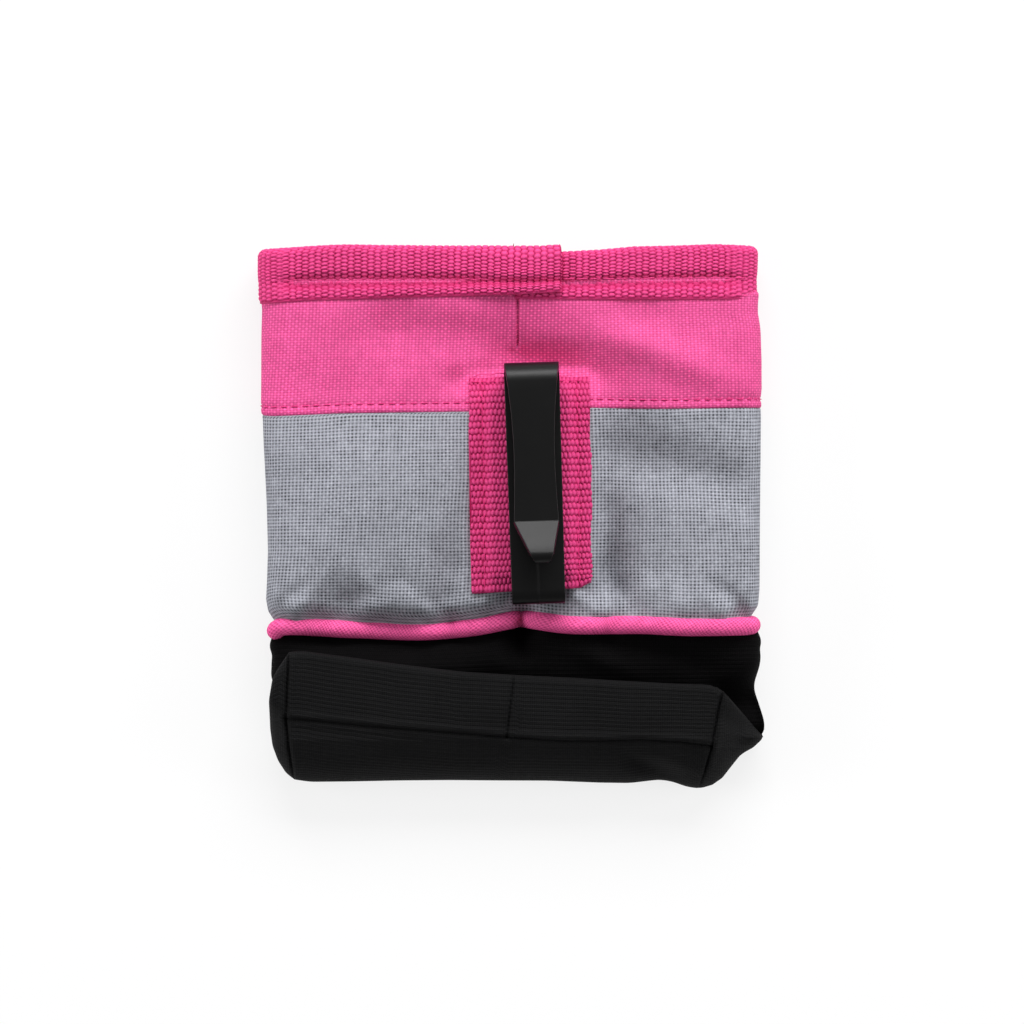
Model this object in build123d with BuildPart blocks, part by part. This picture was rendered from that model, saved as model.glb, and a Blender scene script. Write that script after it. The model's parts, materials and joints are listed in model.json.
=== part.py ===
"""Treat pouch lying flat on its front, with a belt clip on the back.

Axes: +X across the pouch, +Y towards the mouth, +Z out of the back.
The front lies on Z = 0, and the origin is the centre of the pouch's footprint.
"""

from build123d import *

import os
from math import cos, hypot, radians, sin

os.makedirs("parts", exist_ok=True)

# ---- Overall size, laid flat ----
pouch_length = 136.0
mouth_width = 125.5
seam_width = 122.6
mouth_thickness = 14.0
seam_thickness = 20.0
side_radius = 6.2

# ---- Fabrics and webbing ----
band_wall = 0.8
panel_wall = 0.8
base_wall = 1.0
lining_wall = 0.4
webbing = 1.2
layer_gap = 0.15

# ---- Heights of the sections, seen from the back ----
binding_height = 13.0
band_height = 28.5
hem_lap = 6.0
seam_height = 40.0
piping_diameter = 4.25

# ---- Folded base ----
wall_bulge = 5.0
wall_thickness = 17.6
tuck_depth = 18.6
tuck_narrowing = 1.1
tuck_thickness = 15.2
fold_thickness = 18.4
flap_thickness = 2.4
flap_slope = 9.0
gusset_x = 54.0
gusset_height = 8.5
crease_left = 15.2
crease_middle = 8.8
crease_right = 6.6
fold_radius = 2.4

# ---- Mouth lip ----
lip_length = 26.0
split_gap = 0.5
overlap_length = 12.0
overlap_end = 13.0
step_run = 2.5

# ---- Clip patch ----
patch_x = 5.0
patch_width = 30.0
patch_length = 53.0
patch_top = 34.2
patch_flange = 2.9
tunnel_width = 19.2
clearance = 0.3

# ---- Belt clip ----
clip_x = 5.3
clip_top = 37.6
clip_tilt = 1.8
clip_strip = 2.2
clip_length = 60.4
clip_top_width = 13.8
clip_end_width = 12.7
belt_gap = 5.4
belt_gap_end = 5.0
arm_top_width = 13.0
arm_neck_width = 10.5
arm_waist_width = 10.2
arm_foot_width = 11.2
arm_length = 38.8
lip_run = 9.9
lip_rise = 4.6
lip_end_width = 5.8
tip_round = 0.9
corner_round = 2.0

# ---- Levels along the pouch ----
piping_radius = piping_diameter / 2
mouth_y = pouch_length / 2
base_y = -pouch_length / 2
binding_y = mouth_y - binding_height
hem_y = binding_y - band_height
seam_y = base_y + seam_height
panel_foot_y = seam_y + piping_diameter / 2
wall_top_y = seam_y - piping_diameter / 2
bulge_y = wall_top_y - wall_bulge
tuck_y = wall_top_y - tuck_depth
tuck_width = seam_width - tuck_narrowing
lip_y = mouth_y - lip_length

# ---- Layer insets from the outer face ----
band_inset = webbing + layer_gap
lap_inset = band_wall + layer_gap
lining_inset = band_inset + band_wall + layer_gap
lining_seam_inset = piping_diameter + clearance
lining_base_inset = base_wall + clearance
binding_inner_inset = lining_inset + lining_wall + layer_gap
mouth_inset = binding_inner_inset + webbing

# The back is one straight slope from the seam to the mouth.
back_rise = (seam_thickness - mouth_thickness) / (mouth_y - seam_y)
split_z = mouth_thickness / 2


def back_z(y):
    """Height of the back above the front, between the seam and the mouth."""
    return mouth_thickness + back_rise * (mouth_y - y)


def width_at(y):
    """Outer width between the seam and the mouth."""
    return mouth_width + (seam_width - mouth_width) * (mouth_y - y) / (mouth_y - seam_y)


def outline(y, width, thickness, inset, radius):
    """Flattened cross-section of the pouch, resting on its front."""
    section_plane = Plane(origin=(0, y, thickness / 2), x_dir=(1, 0, 0), z_dir=(0, 1, 0))
    with BuildSketch(section_plane) as section:
        RectangleRounded(width - 2 * inset, thickness - 2 * inset, radius)
    return section.sketch


def solid_through(sections, radius):
    """Closed body through a list of (y, width, thickness, inset), with rounded sides."""
    with BuildPart() as body:
        loft(sections=[outline(*section, radius) for section in sections], ruled=True)
    return body.part


def ring_through(sections, wall, radius):
    """Fabric tube through the same kind of list, open at both ends."""
    cavity = [(y, width, thickness, inset + wall) for y, width, thickness, inset in sections]
    with BuildPart() as ring:
        add(solid_through(sections, radius))
        add(solid_through(cavity, radius - wall), mode=Mode.SUBTRACT)
    return ring.part


def straight_section(y, width, thickness, inset, length):
    """Two equal cross-sections, for a plate of this length below y."""
    return [(y, width, thickness, inset), (y - length, width, thickness, inset)]


def on_pouch(*heights_and_insets):
    """Cross-sections between the seam and the mouth, set in from the outer face."""
    return [(y, width_at(y), back_z(y), inset) for y, inset in heights_and_insets]


def mouth_lip_zone(margin=0.0):
    """Everything that moves with the back of the mouth, grown by a margin."""
    reach = 2 * pouch_length
    with BuildPart(Plane(origin=(0, lip_y - margin, split_z - margin))) as zone:
        Box(reach, reach, reach, align=(Align.CENTER, Align.MIN, Align.MIN))
    return zone.part


# ---- Upper band ----
# It steps in under the binding, and its hem laps over the body panel.
band_sections = on_pouch(
    (hem_y, 0.0),
    (binding_y - step_run, 0.0),
    (binding_y, band_inset),
    (mouth_y - webbing - layer_gap, band_inset),
)

with BuildPart() as upper_band:
    add(ring_through(band_sections, band_wall, side_radius - band_inset))
    add(mouth_lip_zone(split_gap), mode=Mode.SUBTRACT)

with BuildPart() as upper_band_mouth_lip:
    add(ring_through(band_sections, band_wall, side_radius - band_inset))
    add(mouth_lip_zone(), mode=Mode.INTERSECT)

# ---- Body panel ----
# Its foot is drawn in to the middle of the piping, and its top lies inside the hem.
panel_sections = on_pouch(
    (panel_foot_y, piping_radius - panel_wall / 2),
    (panel_foot_y + wall_bulge, 0.0),
    (hem_y - step_run, 0.0),
    (hem_y, lap_inset),
    (hem_y + hem_lap, lap_inset),
)

with BuildPart() as grey_body_panel:
    add(ring_through(panel_sections, panel_wall, side_radius - lap_inset))

# ---- Base piping ----
# One quarter of the cord: half the back, a bend, and half a side.
piping_back = seam_thickness - piping_radius
piping_side = seam_width / 2 - piping_radius
piping_bend = side_radius - piping_radius
bend_x = piping_side - piping_bend
bend_z = piping_back - piping_bend
bend_axis = Axis((bend_x, seam_y, bend_z), (0, 1, 0))

with BuildPart() as base_piping:
    with BuildSketch(Plane(origin=(0, seam_y, piping_back), z_dir=(1, 0, 0))):
        Circle(piping_radius)
    extrude(amount=bend_x)
    with BuildSketch(Plane(origin=(bend_x, seam_y, piping_back), z_dir=(1, 0, 0))):
        Circle(piping_radius)
    revolve(axis=bend_axis, revolution_arc=90)
    with BuildSketch(Plane(origin=(piping_side, seam_y, bend_z), z_dir=(0, 0, -1))):
        Circle(piping_radius)
    extrude(amount=bend_z - seam_thickness / 2)
    mirror(about=Plane.XY.offset(seam_thickness / 2))
    mirror(about=Plane.YZ)

# ---- Base section ----
# A wall tube runs down to the tuck. The boxed base opens out below it,
# and is folded up against the back as a flap.
base_wall_sections = [
    (wall_top_y, seam_width, seam_thickness, piping_radius - base_wall / 2),
    (bulge_y, tuck_width, wall_thickness, 0.0),
    (tuck_y, tuck_width, tuck_thickness, 0.0),
]
fold_length = tuck_y - base_y
fold_sections = [
    (tuck_y, tuck_width, fold_thickness, 0.0),
    (tuck_y - 0.37 * fold_length, tuck_width + 1.5, fold_thickness - 2.0, 0.0),
    (tuck_y - 0.66 * fold_length, tuck_width - 4.5, fold_thickness - 7.0, 0.0),
    (tuck_y - 0.88 * fold_length, tuck_width - 12.0, fold_thickness - 11.6, 0.0),
]
fold_end = [(base_y, tuck_width - 20.0, fold_thickness - 13.2, 0.0)]
fold_cavity = [(y, width, thickness, base_wall) for y, width, thickness, _ in fold_sections]

tuck_outside = straight_section(tuck_y, tuck_width, fold_thickness, 0.0, base_wall)
tuck_inside = straight_section(tuck_y, tuck_width, tuck_thickness, base_wall, base_wall)

# Upper half of the flap in plan, measured from the tuck: the crease and two gussets.
flap_plane = Plane(
    origin=(0, tuck_y, fold_thickness),
    x_dir=(1, 0, 0),
    z_dir=(0, -sin(radians(flap_slope)), cos(radians(flap_slope))),
)
flap_half = tuck_width / 2 - fold_radius
flap_points = [
    (-flap_half, -base_wall),
    (-flap_half, gusset_height),
    (-gusset_x, crease_left),
    (0, crease_middle),
    (gusset_x, crease_right),
    (flap_half, -base_wall),
]

with BuildPart() as black_base_section:
    add(solid_through(fold_sections + fold_end, fold_radius))
    add(solid_through(fold_cavity, fold_radius - base_wall), mode=Mode.SUBTRACT)
    # The tuck closes the step between the wall tube and the flap.
    add(solid_through(tuck_outside, fold_radius))
    add(solid_through(tuck_inside, side_radius - lap_inset - base_wall), mode=Mode.SUBTRACT)
    add(ring_through(base_wall_sections, base_wall, side_radius - lap_inset))
    # The flap is a double layer that ends in the crease.
    with BuildSketch(flap_plane):
        with BuildLine():
            Polyline(*flap_points, close=True)
        make_face()
    extrude(amount=-flap_thickness)

# ---- Lining bag ----
lining_radius = side_radius - lining_inset
lining_sections = on_pouch(
    (mouth_y - webbing - layer_gap, lining_inset),
    (panel_foot_y + wall_bulge, lining_inset),
    (seam_y, lining_seam_inset),
)
lining_sections += [
    (bulge_y - lining_base_inset, tuck_width, wall_thickness - layer_gap, lining_base_inset),
    (tuck_y + lining_wall, tuck_width, tuck_thickness, lining_base_inset),
]

with BuildPart() as lining:
    add(ring_through(lining_sections, lining_wall, lining_radius))
    add(solid_through(straight_section(*lining_sections[-1], lining_wall), lining_radius))

with BuildPart() as lining_bag:
    add(lining.part)
    add(mouth_lip_zone(split_gap), mode=Mode.SUBTRACT)

with BuildPart() as lining_mouth_lip:
    add(lining.part)
    add(mouth_lip_zone(), mode=Mode.INTERSECT)

# ---- Rim binding ----
# Webbing folded over the rim, with a slot for the band and the lining.
fold_y = mouth_y - webbing / 2
binding_outside = on_pouch((binding_y, 0.0), (fold_y, 0.0), (mouth_y, webbing / 2))
binding_inside = on_pouch(
    (binding_y, mouth_inset),
    (fold_y, mouth_inset),
    (mouth_y, mouth_inset - webbing / 2),
)

with BuildPart() as rim_binding:
    add(solid_through(binding_outside, side_radius))
    add(solid_through(binding_inside, side_radius - mouth_inset), mode=Mode.SUBTRACT)
    slot_sections = on_pouch((binding_y, webbing), (mouth_y - webbing, webbing))
    slot_depth = binding_inner_inset - webbing
    add(ring_through(slot_sections, slot_depth, side_radius - webbing), mode=Mode.SUBTRACT)

with BuildPart() as rim_binding_front:
    add(rim_binding.part)
    add(mouth_lip_zone(split_gap), mode=Mode.SUBTRACT)

# The end of the webbing lies over its start on the back.
overlap_plane = Plane(
    origin=(overlap_end - overlap_length / 2, binding_y, back_z(binding_y)),
    x_dir=(1, 0, 0),
    z_dir=(0, back_rise, 1),
)

with BuildPart() as rim_binding_back:
    add(rim_binding.part)
    add(mouth_lip_zone(), mode=Mode.INTERSECT)
    with BuildSketch(overlap_plane):
        Rectangle(overlap_length, binding_height - webbing, align=(Align.CENTER, Align.MIN))
    extrude(amount=webbing / 2)

# ---- Clip patch ----
# Webbing sewn flat along both sides, raised in between as a tunnel for the clip.
leg_under = clearance
leg_over = leg_under + clip_strip
patch_under = leg_over + clearance
patch_over = patch_under + webbing
rear_under = patch_over + clearance
rear_over = rear_under + clip_strip
patch_plane = Plane(
    origin=(patch_x, patch_top, back_z(patch_top)),
    x_dir=(1, 0, 0),
    z_dir=(0, back_rise, 1),
)
patch_end = Plane(origin=patch_plane.origin, x_dir=(1, 0, 0), z_dir=-patch_plane.y_dir)
patch_half = patch_width / 2
tunnel_half = tunnel_width / 2
shoulder = patch_half - patch_flange

with BuildPart() as clip_patch:
    with BuildSketch(patch_end):
        with BuildLine():
            Polyline(
                (-patch_half, 0),
                (-patch_half, webbing),
                (-shoulder, webbing),
                (-tunnel_half - webbing / 2, patch_over),
                (tunnel_half + webbing / 2, patch_over),
                (shoulder, webbing),
                (patch_half, webbing),
                (patch_half, 0),
                (shoulder - webbing / 2, 0),
                (tunnel_half, patch_under),
                (-tunnel_half, patch_under),
                (-shoulder + webbing / 2, 0),
                close=True,
            )
        make_face()
    extrude(amount=patch_length)

# ---- Belt clip ----
# One moulding: a closed loop round the patch, and a sprung arm over the belt gap.
untilted = Plane(
    origin=(clip_x, clip_top, back_z(clip_top)),
    x_dir=(1, 0, 0),
    z_dir=(0, back_rise, 1),
)
clip_plane = Plane(untilted.location * Rotation(0, 0, clip_tilt))
clip_side = Plane(origin=clip_plane.origin, x_dir=clip_plane.y_dir, z_dir=clip_plane.x_dir)

loop_middle = (leg_under + rear_over) / 2
loop_depth = rear_over - leg_under
bend_inner = belt_gap / 2
bend_outer = bend_inner + clip_strip
bend_end = -bend_outer
bend_middle = rear_over + bend_inner

# Root of the arm: a rounded end on the flexing axis, just clear of the bend.
root_radius = clip_strip / 2
root_along = bend_end - clearance - root_radius
root_height = rear_over + belt_gap + root_radius

# Foot of the arm, and the lip that flares away from the belt.
foot_inner = rear_over + belt_gap_end
foot_outer = foot_inner + clip_strip
lip_length_along = hypot(lip_run, lip_rise)
lip_out = Vector(-arm_length - lip_run, foot_outer + lip_rise)
lip_in = lip_out + Vector(-lip_rise, -lip_run) * (clip_strip / lip_length_along)
foot_turn = clip_strip * lip_rise / (lip_run + lip_length_along)


def arm_plan(along_from, along_to):
    """Waisted plan of the arm and the bend, kept between two places along the clip."""
    half_top = arm_top_width / 2
    half_foot = arm_foot_width / 2
    half_tip = lip_end_width / 2
    tip_along = -arm_length - lip_run - clip_strip
    with BuildPart() as planned:
        with BuildSketch(clip_plane):
            with BuildLine():
                side = Spline(
                    (half_top, 0),
                    (arm_neck_width / 2, -0.37 * arm_length),
                    (arm_waist_width / 2, -0.7 * arm_length),
                    (half_foot, -arm_length),
                )
                Line(side @ 1, (half_tip, tip_along))
                Line((half_tip, tip_along), (0, tip_along))
                Line((half_top, 0), (0, 0))
                mirror(about=Plane.YZ)
            make_face()
            with Locations((0, (along_from + along_to) / 2)):
                Rectangle(2 * arm_top_width, abs(along_from - along_to), mode=Mode.INTERSECT)
        extrude(amount=pouch_length, both=True)
    return planned.part


with BuildPart() as bend:
    with BuildSketch(clip_side):
        with Locations((bend_end, bend_middle)):
            Circle(bend_outer)
            Circle(bend_inner, mode=Mode.SUBTRACT)
            Rectangle(bend_outer, 3 * bend_outer, align=(Align.MAX, Align.CENTER), mode=Mode.SUBTRACT)
    extrude(amount=clip_top_width, both=True)
    add(arm_plan(0, bend_end), mode=Mode.INTERSECT)

with BuildPart() as belt_clip_loop:
    with BuildSketch(clip_side):
        with Locations((-clip_length / 2, loop_middle)):
            SlotOverall(clip_length, loop_depth)
            SlotOverall(
                clip_length - 2 * clip_strip,
                loop_depth - 2 * clip_strip,
                mode=Mode.SUBTRACT,
            )
    extrude(amount=clip_top_width, both=True)
    with BuildSketch(clip_plane) as loop_plan:
        with BuildLine():
            Polyline(
                (-clip_top_width / 2, 0),
                (clip_top_width / 2, 0),
                (clip_end_width / 2, -clip_length),
                (-clip_end_width / 2, -clip_length),
                close=True,
            )
        make_face()
        fillet(loop_plan.vertices().sort_by(Axis.Y)[:2], radius=corner_round)
    extrude(amount=rear_over * 2, both=True, mode=Mode.INTERSECT)
    add(bend.part)

with BuildPart() as belt_clip_arm:
    with BuildSketch(clip_side) as arm_side:
        with BuildLine():
            Polyline(
                (root_along, root_height + root_radius),
                (-arm_length, foot_outer),
                (lip_out.X, lip_out.Y),
                (lip_in.X, lip_in.Y),
                (-arm_length - foot_turn, foot_inner),
                (root_along, root_height - root_radius),
                close=True,
            )
        make_face()
        fillet(arm_side.vertices().sort_by(Axis.X)[:2], radius=tip_round)
        with Locations((root_along, root_height)):
            Circle(root_radius)
    extrude(amount=clip_top_width, both=True)
    add(arm_plan(0, -2 * arm_length), mode=Mode.INTERSECT)

# ---- Labels and files ----
upper_band.part.label = "upper_band"
upper_band_mouth_lip.part.label = "upper_band_mouth_lip"
grey_body_panel.part.label = "grey_body_panel"
base_piping.part.label = "base_piping"
black_base_section.part.label = "black_base_section"
lining_bag.part.label = "lining_bag"
lining_mouth_lip.part.label = "lining_mouth_lip"
rim_binding_front.part.label = "rim_binding_front"
rim_binding_back.part.label = "rim_binding_back"
clip_patch.part.label = "clip_patch"
belt_clip_loop.part.label = "belt_clip_loop"
belt_clip_arm.part.label = "belt_clip_arm"

pieces = [
    upper_band,
    upper_band_mouth_lip,
    grey_body_panel,
    base_piping,
    black_base_section,
    lining_bag,
    lining_mouth_lip,
    rim_binding_front,
    rim_binding_back,
    clip_patch,
    belt_clip_loop,
    belt_clip_arm,
]
for piece in pieces:
    export_step(piece.part, "parts/" + piece.part.label + ".step")
    box = piece.part.bounding_box()
    print(piece.part.label, len(piece.part.solids()), round(piece.part.volume), box.min, box.max)
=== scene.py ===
"""Looks of the treat pouch: woven fabrics, webbing, stitching and the moulded belt clip.

Lengths are in millimetres until a mesh is made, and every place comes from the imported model.
"""
import json
import math

import bmesh
import bpy
import numpy as np
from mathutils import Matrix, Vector


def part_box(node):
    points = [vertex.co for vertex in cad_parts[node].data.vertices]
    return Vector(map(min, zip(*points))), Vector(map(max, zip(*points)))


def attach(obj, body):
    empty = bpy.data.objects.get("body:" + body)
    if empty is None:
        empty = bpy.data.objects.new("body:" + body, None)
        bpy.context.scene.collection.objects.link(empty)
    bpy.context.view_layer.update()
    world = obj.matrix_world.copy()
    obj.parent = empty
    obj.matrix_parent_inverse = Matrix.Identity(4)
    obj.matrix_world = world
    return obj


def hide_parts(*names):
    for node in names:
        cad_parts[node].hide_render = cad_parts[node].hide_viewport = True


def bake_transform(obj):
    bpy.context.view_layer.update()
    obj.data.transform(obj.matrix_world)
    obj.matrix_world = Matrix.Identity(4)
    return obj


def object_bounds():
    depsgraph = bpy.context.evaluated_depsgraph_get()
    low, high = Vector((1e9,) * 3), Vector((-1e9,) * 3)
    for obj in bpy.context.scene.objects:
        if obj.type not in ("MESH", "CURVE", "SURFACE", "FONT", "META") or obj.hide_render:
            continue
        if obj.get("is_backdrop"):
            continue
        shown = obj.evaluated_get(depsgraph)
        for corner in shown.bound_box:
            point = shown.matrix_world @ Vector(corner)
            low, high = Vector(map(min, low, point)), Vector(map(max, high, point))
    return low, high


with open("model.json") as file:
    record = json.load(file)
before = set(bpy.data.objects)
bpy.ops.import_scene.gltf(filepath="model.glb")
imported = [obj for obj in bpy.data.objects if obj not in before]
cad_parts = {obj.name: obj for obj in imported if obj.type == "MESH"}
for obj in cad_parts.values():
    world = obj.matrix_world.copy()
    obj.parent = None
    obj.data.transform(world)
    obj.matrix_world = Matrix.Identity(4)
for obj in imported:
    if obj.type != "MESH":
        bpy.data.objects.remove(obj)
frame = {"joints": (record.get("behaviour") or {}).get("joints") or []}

cad_low, cad_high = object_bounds()
joints = {joint["name"]: joint for joint in frame["joints"]}


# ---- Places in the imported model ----
def mm_box(node):
    low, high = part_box(node)
    return np.array(low) * 1000, np.array(high) * 1000


rim_low, rim_high = mm_box("rim_binding_back")
band_low, band_high = mm_box("upper_band")
piping_low, piping_high = mm_box("base_piping")
base_low, _ = mm_box("black_base_section")
patch_low, patch_high = mm_box("clip_patch")

rim_y = rim_high[1]
binding_y = rim_low[1]
hem_y = band_low[1]
seam_y = (piping_low[1] + piping_high[1]) / 2
base_y = base_low[1]
cord_radius = (piping_high[1] - piping_low[1]) / 2
half_mouth = rim_high[0]
half_seam = piping_high[0]
seam_depth = piping_high[2]
back_slope = (band_high[2] - seam_depth) / (hem_y - seam_y)
tuck_height = 19.3
tuck_y = base_y + tuck_height

back_seam_x = 2.2
notch_x = 2.0
webbing = 1.2
cloth = 0.8
row_step = 0.5
# The webbing bows over the rim, and the cloth inside it stops this far down.
cloth_below_rim = 3.9


# ---- Small tools ----
def smooth(t):
    t = np.clip(t, 0.0, 1.0)
    return t * t * (3 - 2 * t)


def ripple(x, y, size, seed):
    """Gentle unevenness of this size, the same at every run."""
    rng = np.random.default_rng(seed)
    total = np.zeros_like(x + y)
    for _ in range(9):
        angle = rng.uniform(0, math.pi)
        wave = 2 * math.pi / (size * rng.uniform(0.7, 1.6))
        phase = rng.uniform(0, 2 * math.pi)
        total = total + np.sin(wave * (x * math.cos(angle) + y * math.sin(angle)) + phase)
    return total / 4


def peak(value, centre, width):
    """A bell curve: 1 at the centre, falling off on both sides."""
    return np.exp(-(((value - centre) / width) ** 2))


def fold(x, y, start, end, width, height):
    """A ridge, or a valley if height is negative, between two points."""
    run = np.subtract(end, start)
    length = math.hypot(*run)
    along = ((x - start[0]) * run[0] + (y - start[1]) * run[1]) / length**2
    across = ((x - start[0]) * run[1] - (y - start[1]) * run[0]) / length
    return height * np.exp(-((across / width) ** 2) - ((along - 0.5) / 0.5) ** 4)


def dimple(x, y, centre, size, height):
    """A round swell, or a hollow if height is negative."""
    return height * np.exp(-(((x - centre[0]) / size[0]) ** 2) - ((y - centre[1]) / size[1]) ** 2)


def with_folds(height, x, y, folds):
    """Adds folds, each by its two ends, its width and its height."""
    for start, end, width, rise in folds:
        height = height + fold(x, y, start, end, width, rise)
    return height


def with_dimples(height, x, y, dimples):
    """Adds dimples, each by its centre, its reach along X and Y and its height."""
    for centre, size, rise in dimples:
        height = height + dimple(x, y, centre, size, rise)
    return height


def unit(vectors):
    return vectors / np.maximum(np.linalg.norm(vectors, axis=-1, keepdims=True), 1e-9)


def distances(path):
    """How far along a line each of its points is."""
    return np.r_[0, np.cumsum(np.linalg.norm(np.diff(path, axis=0), axis=-1))]


def line_distance(x, y, points):
    """Distance of each place from a line through these points."""
    best = np.full(np.shape(x), 1e9)
    for (x0, y0), (x1, y1) in zip(points[:-1], points[1:]):
        dx, dy = x1 - x0, y1 - y0
        t = np.clip(((x - x0) * dx + (y - y0) * dy) / max(dx * dx + dy * dy, 1e-12), 0, 1)
        best = np.minimum(best, np.hypot(x - x0 - t * dx, y - y0 - t * dy))
    return best


def rounded_line(points, count):
    """The same line as a smooth curve with evenly spaced points."""
    points = np.array(points, float)
    steps = np.r_[0, np.cumsum(np.hypot(*np.diff(points, axis=0).T))]
    fine = np.linspace(0, steps[-1], 40 * len(points))
    curve = np.stack([np.interp(fine, steps, points[:, i]) for i in (0, 1)], 1)
    window = 31
    kernel = np.hanning(window)
    kernel /= kernel.sum()
    padded = np.pad(curve, ((window // 2, window // 2), (0, 0)), mode="edge")
    curve = np.stack([np.convolve(padded[:, i], kernel, "valid") for i in (0, 1)], 1)
    curve[0], curve[-1] = points[0], points[-1]
    return curve[np.linspace(0, len(curve) - 1, count).round().astype(int)]


# ---- The pouch's surface ----
def half_width(y):
    return half_seam + (half_mouth - half_seam) * (y - seam_y) / (rim_y - seam_y)


def thickness(y):
    return seam_depth + back_slope * (y - seam_y)


BACK_COLUMNS = 130
SIDE_COLUMNS = 22
SIDE_REACH = 7.5


def loops(half, low, high, back_columns=BACK_COLUMNS, side_columns=SIDE_COLUMNS, reach=SIDE_REACH):
    """Closed loops across the pouch, starting at the middle of the back and going to +X."""
    half, low, high = (np.atleast_1d(np.asarray(v, float))[:, None] for v in (half, low, high))
    count = max(len(half), len(low), len(high))
    half, low, high = (np.broadcast_to(v, (count, 1)) for v in (half, low, high))
    middle, depth = (low + high) / 2, (high - low) / 2
    flat = half - reach
    q = (np.arange(back_columns) / back_columns) ** 1.3
    back_q = (1 - np.arange(back_columns) / back_columns) ** 1.3
    turn = np.pi / 2 - np.pi * np.arange(side_columns) / side_columns
    bow = reach * np.abs(np.cos(turn)) ** 0.85
    lift = np.sign(np.sin(turn)) * np.abs(np.sin(turn)) ** 0.85
    front = 1 - 2 * np.arange(2 * back_columns) / (2 * back_columns)
    x = np.concatenate([flat * q, flat + bow, flat * front, -flat - bow, -flat * back_q], 1)
    z = np.concatenate(
        [high + 0 * q, middle + depth * lift, low + 0 * front, middle - depth * lift, high + 0 * q], 1
    )
    step = np.hypot(np.diff(x, axis=1, append=x[:, :1]), np.diff(z, axis=1, append=z[:, :1]))
    arc = np.concatenate([np.zeros((count, 1)), np.cumsum(step, 1)], 1)
    return x, z, arc


def patch_cover(x, y):
    """1 under the clip patch, where the back lies flat, and 0 away from it."""
    inside_x = smooth((patch_high[0] + 3 - x) / 5) * smooth((x - patch_low[0] + 3) / 5)
    inside_y = smooth((patch_high[1] + 3 - y) / 6) * smooth((y - patch_low[1] + 1) / 5)
    return inside_x * inside_y


# The upper band is hollow under the binding and full at its sides.
BAND_DIMPLES = [
    ((-8, 43.5), (26, 8.0), -3.0),
    ((-28, 47), (9, 6.5), -1.7),
    ((-24, 30), (24, 13), -2.6),
    ((11, 37), (11, 5.5), -5.0),
    ((30, 49), (16, 4.5), -1.2),
    ((3, 38.5), (9, 4.5), -2.2),
    ((25, 31), (7, 9), -1.8),
]
# On the right, a ridge runs down the upper band, and a long slanting hollow lies below the hem.
LONG_FOLDS = [
    ((14, 51), (60, 31), 4.6, 1.7),
    ((19, 17.5), (65, 4.5), 6.8, -3.1),
]
# The body panel is gathered at the piping.
GATHERS = [
    ((-47, -25), (-28, -14), 2.6, -0.9),
    ((-41, -27), (-27, -18.5), 2.2, 0.7),
    ((-28, -14), (-14, -26), 2.4, -0.9),
    ((-24, -9), (-7, -23), 2.6, 0.5),
    ((-19, -10), (-5, -17), 2.4, -0.6),
    ((-60, -25), (-52, -17), 1.8, -0.9),
    ((-56, -27), (-50, -20), 1.6, 0.7),
    ((16, -12), (34, -26), 2.6, -0.5),
    ((20, -8), (41, -22), 3.0, 0.3),
    ((10, -16), (24, -26), 2.0, 0.7),
    ((52, -17), (59, -27), 2.0, -1.2),
    ((46, -18), (55, -27), 2.0, 0.7),
]
BODY_DIMPLES = [
    ((25, -15), (7.5, 6.5), -2.0),
    ((9.5, -21.5), (3.6, 4.0), -3.0),
    ((-20, 2), (20, 14), 1.6),
    ((-45, 2), (12, 16), 0.8),
]
# The back seam draws the middle down to a notch in the piping.
NOTCH_DIMPLES = [
    ((notch_x, seam_y), (3.2, 9.0), -2.4),
    ((notch_x + 2, seam_y), (10.0, 8.0), -0.8),
    ((4, -25), (9, 4.5), -1.6),
]


def back_relief(x, y):
    """How the back rises and falls about its straight slope."""
    band = smooth((y - hem_y + 4) / 8)
    low_body = smooth((seam_y + 26 - y) / 24)
    free = 0.35 * ripple(x, y, 38, 3) + 0.16 * ripple(x, y, 15, 5)
    free = with_dimples(free, x, y, BAND_DIMPLES)
    free = with_folds(free, x, y, LONG_FOLDS)
    free = free + band * fold(x, y, (back_seam_x, 60), (back_seam_x, 30), 5.0, -0.8)
    gathers = with_folds(0.0, x, y, GATHERS) + 0.22 * ripple(x, y, 7, 11)
    free = free + low_body * gathers * (0.9 + 0.6 * smooth((x - 5) / 10))
    # Above the piping it falls away steeply on the left, below an arch of cloth, and less on the right.
    near_arch = peak(x, -43, 9.5)
    arch_y = seam_y + 3 + 14.0 * near_arch + 7.0 * peak(x, -28, 7)
    free = free - 3.3 * smooth((-4 - x) / 8) * smooth((arch_y - y) / 11)
    free = free - 1.9 * peak(x, -38, 14) * smooth((3 - y) / 20)
    fall = 0.85 * smooth((9 - x) / 6) * (1 - 0.25 * near_arch) * (0.35 + 0.65 * smooth((x + 56) / 14))
    fall = fall + 0.15 + 0.3 * smooth((x - 50) / 6)
    free = free - 3.3 * fall * smooth((seam_y + 6.5 - y) / 5.5)
    # It is lower beside the patch towards the piping.
    beside = peak(x, 23.5, 4.8) * (0.45 + 0.55 * smooth((y - seam_y) / 12))
    free = free - 3.8 * beside * smooth((30 - y) / 50)
    free = free - 2.6 * peak(x, -15, 4.5) * smooth((6 - y) / 26)
    free = with_dimples(free, x, y, BODY_DIMPLES)
    notch = with_dimples(0.0, x, y, NOTCH_DIMPLES)
    # The patch's top edge is sewn down into the cloth.
    sewn_y = patch_high[1] - 0.5
    notch = notch + fold(x, y, (patch_low[0] - 6, sewn_y), (patch_high[0] + 3, sewn_y), 3.0, -2.3)
    hold = smooth((rim_y - 2 - y) / 14)
    return free * (1 - 0.85 * patch_cover(x, y)) * hold + notch


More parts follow.
